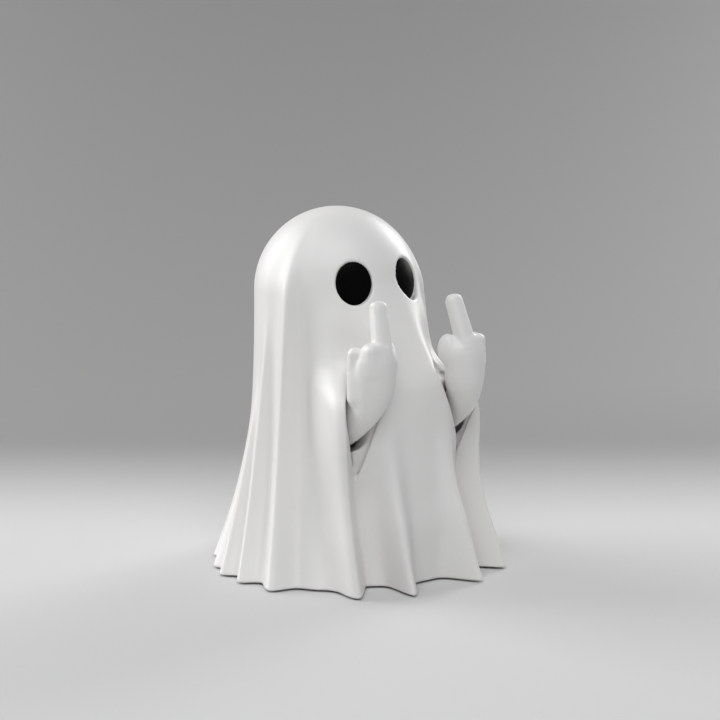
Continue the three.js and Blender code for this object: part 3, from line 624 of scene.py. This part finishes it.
# Materials
class Nodes:
    """Short form for building a material's node tree."""

    def __init__(self, name):
        self.material = bpy.data.materials.new(name)
        self.material.use_nodes = True
        self.tree = self.material.node_tree
        self.shader = self.tree.nodes["Principled BSDF"]

    def add(self, kind, **values):
        node = self.tree.nodes.new(kind)
        for key, value in values.items():
            if key in node.inputs:
                node.inputs[key].default_value = value
            else:
                setattr(node, key, value)
        return node

    def link(self, source, output, target, entry):
        self.tree.links.new(source.outputs[output], target.inputs[entry])

    def noise(self, scale, detail):
        where = self.add("ShaderNodeTexCoord")
        node = self.add("ShaderNodeTexNoise", Scale=scale, Detail=detail)
        self.link(where, "Object", node, "Vector")
        return node

    def ramp(self, source, output, low, high, a=0.3, b=0.7):
        node = self.add("ShaderNodeValToRGB")
        node.color_ramp.elements[0].position = a
        node.color_ramp.elements[1].position = b
        node.color_ramp.elements[0].color = (*low, 1)
        node.color_ramp.elements[1].color = (*high, 1)
        self.link(source, output, node, "Fac")
        return node

    def spread(self, source, output, low, high):
        node = self.add("ShaderNodeMapRange")
        node.inputs["To Min"].default_value = low
        node.inputs["To Max"].default_value = high
        self.link(source, output, node, "Value")
        return node

    def bump(self, source, output, strength, distance):
        node = self.add("ShaderNodeBump", Strength=strength, Distance=distance)
        self.link(source, output, node, "Height")
        self.link(node, "Normal", self.shader, "Normal")


CLOUD_SCALE = 22
SHEEN_SCALE = 240
SHEEN_SPREAD = 0.04
GRAIN_DEPTH = 0.0001
COAT_ROUGHNESS = 0.25


def moulded(name, low, high, rough, coat=0.0, grain=1400, strength=0.06):
    """Material with a cloudy tone between two colours, an uneven sheen and a fine grain."""
    n = Nodes(name)
    cloud = n.noise(CLOUD_SCALE, 4)
    tone = n.ramp(cloud, "Fac", low, high)
    n.link(tone, "Color", n.shader, "Base Color")
    fine = n.noise(SHEEN_SCALE, 3)
    sheen = n.spread(fine, "Fac", rough - SHEEN_SPREAD, rough + SHEEN_SPREAD)
    n.link(sheen, "Result", n.shader, "Roughness")
    n.bump(n.noise(grain, 2), "Fac", strength, GRAIN_DEPTH)
    n.shader.inputs["Coat Weight"].default_value = coat
    n.shader.inputs["Coat Roughness"].default_value = COAT_ROUGHNESS
    return n.material


white = moulded("sheet_white", (0.80, 0.79, 0.775), (0.835, 0.825, 0.81), 0.42, coat=0.1)
grey = moulded("inner_grey", (0.56, 0.55, 0.53), (0.62, 0.61, 0.59), 0.5)
black = moulded(
    "eye_black", (0.001, 0.001, 0.001), (0.003, 0.003, 0.003), 0.3, grain=900, strength=0.01,
)
black.node_tree.nodes["Principled BSDF"].inputs["Specular IOR Level"].default_value = 0.03
rubber = moulded(
    "rubber", (0.02, 0.02, 0.021), (0.035, 0.035, 0.036), 0.75, grain=1800, strength=0.3,
)
steel = moulded("steel", (0.55, 0.55, 0.56), (0.66, 0.66, 0.67), 0.3, grain=2500, strength=0.05)
steel.node_tree.nodes["Principled BSDF"].inputs["Metallic"].default_value = 1

FINISH = {
    "sheet_white": white, "inner_grey": grey, "eye_black": black, "rubber": rubber, "steel": steel,
}
for sub in frame["record"]["subparts"]:
    node = frame["nodes"][sub["node"]]
    node.data.materials.clear()
    node.data.materials.append(FINISH[sub["material_slot"]])


def dress(piece, slot, body, *nodes):
    """Gives a piece its material and the body it moves with, and hides the nodes it stands for."""
    piece.data.materials.append(FINISH[slot])
    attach(piece, body)
    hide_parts(*nodes)


dress(make_sheet(), "sheet_white", "figure", "drape_shell")
for word, side in (("right", -1), ("left", 1)):
    dress(make_arm(word + "_hand", side), "sheet_white", word + "_arm_body", word + "_arm")
    dress(make_eye(word + "_eye_insert", side), "eye_black", "figure", word + "_eye")

# Studio sweep: floor and backdrop in one curved sheet behind the figure, seen as a smooth gradient
CAMERA_AZIMUTH = math.radians(-36.2)
back_along = Vector((-math.sin(CAMERA_AZIMUTH), math.cos(CAMERA_AZIMUTH), 0))
back_across = Vector((math.cos(CAMERA_AZIMUTH), math.sin(CAMERA_AZIMUTH), 0))
FLOOR_ENDS = (0.04, 0.34)  # metres behind the figure over which the floor turns into the wall's grey
FLOOR_TONE = (0.64, 0.64, 0.635)
WALL_TONE = (0.288, 0.286, 0.283)


def make_sweep():
    """Floor and wall in metres: flat from near to straight, then a bend up into the wall."""
    near = -1.6
    straight = 0.55
    bend = 0.5
    bend_steps = 24
    tall = 3.2
    wide = 3.5
    profile = [(near, 0.0), (straight, 0.0)]
    for k in range(1, bend_steps + 1):
        t = k / bend_steps * math.pi / 2
        profile.append((straight + bend * math.sin(t), bend * (1 - math.cos(t))))
    profile.append((straight + bend, tall))
    work = bmesh.new()
    rows = [
        [work.verts.new(back_along * d + back_across * s + Vector((0, 0, z))) for s in (-wide, wide)]
        for d, z in profile
    ]
    for a, b in zip(rows, rows[1:]):
        work.faces.new((a[0], a[1], b[1], b[0])).smooth = True
    piece = add_piece("sweep", bpy.data.meshes.new("sweep"), work)
    n = Nodes("sweep")
    n.shader.inputs["Roughness"].default_value = 0.8
    n.shader.inputs["Specular IOR Level"].default_value = 0.2
    # Pale floor that darkens to a grey wall a little way behind the figure
    where = n.add("ShaderNodeTexCoord")
    far = n.add("ShaderNodeVectorMath", operation="DOT_PRODUCT")
    far.inputs[1].default_value = back_along
    n.link(where, "Object", far, 0)
    depth = n.add("ShaderNodeMapRange", interpolation_type="SMOOTHSTEP")
    depth.inputs["From Min"].default_value = FLOOR_ENDS[0]
    depth.inputs["From Max"].default_value = FLOOR_ENDS[1]
    n.link(far, "Value", depth, "Value")
    shade = n.ramp(depth, "Result", FLOOR_TONE, WALL_TONE, 0.0, 1.0)
    n.link(shade, "Color", n.shader, "Base Color")
    piece.data.materials.append(n.material)


make_sweep()


# Lamps, world and camera
LAMP_AIM = Vector((0, 0, 0.1))


def lamp(name, azimuth, elevation, distance, size, watts):
    """Soft square lamp aimed at the figure's middle; azimuth is 0 in front of it, as for the camera."""
    a, e = math.radians(azimuth), math.radians(elevation)
    back = Vector((math.sin(a) * math.cos(e), -math.cos(a) * math.cos(e), math.sin(e)))
    data = bpy.data.lights.new(name, "AREA")
    data.shape = "SQUARE"
    data.size = size
    data.energy = watts
    light = bpy.data.objects.new(name, data)
    light.location = LAMP_AIM + back * distance
    light.rotation_euler = back.to_track_quat("Z", "Y").to_euler()
    bpy.context.scene.collection.objects.link(light)


lamp("key", -150, 24, 1.6, 1.2, 19)
lamp("rim", 110, 22, 1.3, 0.7, 12)
lamp("fill", -38, 58, 1.8, 1.4, 15)

SKY_TONE = (0.9, 0.92, 0.95, 1)
SKY_STRENGTH = 0.38
world = bpy.data.worlds.new("studio")
bpy.context.scene.world = world
world.use_nodes = True
background = world.node_tree.nodes["Background"]
background.inputs["Color"].default_value = SKY_TONE
background.inputs["Strength"].default_value = SKY_STRENGTH

# Camera: place in millimetres from the ground under the hem's middle, and directions of its axes
LENS = 90
SENSOR_WIDTH = 36
CLIP_START = 0.01
CAMERA_AT = (-591.3, -807.3, 280.69)
CAMERA_RIGHT = (0.8068, -0.5908, 0)
CAMERA_UP = (0.0967, 0.1321, 0.9865)
CAMERA_BACK = (-0.5828, -0.796, 0.1637)
camera_data = bpy.data.cameras.new("camera")
camera_data.lens = LENS
camera_data.sensor_width = SENSOR_WIDTH
camera_data.clip_start = CLIP_START
camera = bpy.data.objects.new("camera", camera_data)
axes = [Vector(v).normalized() for v in (CAMERA_RIGHT, CAMERA_UP, CAMERA_BACK)]
place = (CAMERA_AT[0] * MM, (CAMERA_AT[1] + FRAME_SHIFT) * MM, CAMERA_AT[2] * MM)
camera.matrix_world = matrix_of(*axes, place)
bpy.context.scene.collection.objects.link(camera)
bpy.context.scene.camera = camera
bpy.context.scene.view_settings.view_transform = "Standard"
